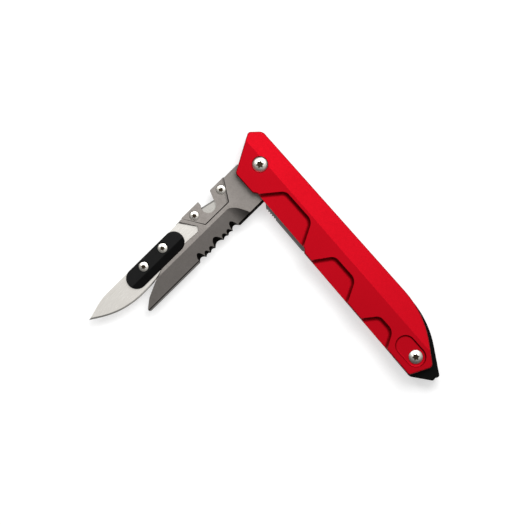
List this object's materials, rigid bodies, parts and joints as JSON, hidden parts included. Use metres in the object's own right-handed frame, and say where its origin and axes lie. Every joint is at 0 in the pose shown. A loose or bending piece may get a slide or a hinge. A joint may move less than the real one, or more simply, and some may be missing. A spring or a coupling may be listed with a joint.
{
  "type": "rigging knife",
  "caption": "Folding rigging knife with a part-serrated sheepsfoot blade, a spine hook cutter and a clamped scalpel blade, in a pocketed two-scale handle with a spring lock bar.",
  "frame": {"origin": "on the pivot axis, in the plane of the back scale outer face", "axes": "+X along the handle to the butt, +Y to the handle spine, +Z out of the front face"},
  "size_m": [0.1233, 0.1021, 0.0134],
  "materials": {
    "anodised_scale": "satin red anodising",
    "black_butt": "satin black anodising",
    "black_clamp": "satin black anodising",
    "liner_steel": "brushed",
    "blade_steel": "stonewashed",
    "razor_steel": "bright stamped",
    "handle_screw": "bright",
    "small_screw": "satin",
    "pin_steel": "ground",
    "washer_bronze": "satin",
    "ball_steel": "polished"
  },
  "bodies": {
    "handle": {"front_scale": "anodised_scale", "back_scale": "anodised_scale", "lock_liner": "liner_steel", "butt_spacer": "black_butt", "spacer_dowels": "pin_steel", "pivot_barrel": "pin_steel", "stop_pin": "pin_steel", "tail_bush": "pin_steel", "pivot_screw_front": "handle_screw", "pivot_screw_back": "handle_screw", "tail_screw_front": "handle_screw", "tail_screw_back": "handle_screw", "pivot_washer_front": "washer_bronze", "pivot_washer_back": "washer_bronze"},
    "lock_bar": {"lock_bar": "liner_steel", "detent_ball": "ball_steel"},
    "blade": {"main_blade": "blade_steel", "hook_cover": "blade_steel", "hook_razor": "razor_steel", "hook_cover_screws": "small_screw", "scalpel_blade": "razor_steel", "scalpel_clamp": "black_clamp", "clamp_screws": "small_screw"}
  },
  "joints": [
    {"name": "blade_pivot", "type": "hinge", "parent": "handle", "child": "blade", "pos_m": [0, 0, 0.0067], "axis": [0, 0, 1], "range_deg": [-92.8, 83.4]},
    {"name": "lock_bar_flex", "type": "hinge", "parent": "handle", "child": "lock_bar", "pos_m": [0.055, 0, 0.00407], "axis": [0, -1, 0], "range_deg": [0, 0.45], "stiffness_Nm_per_rad": 0.5}
  ]
}
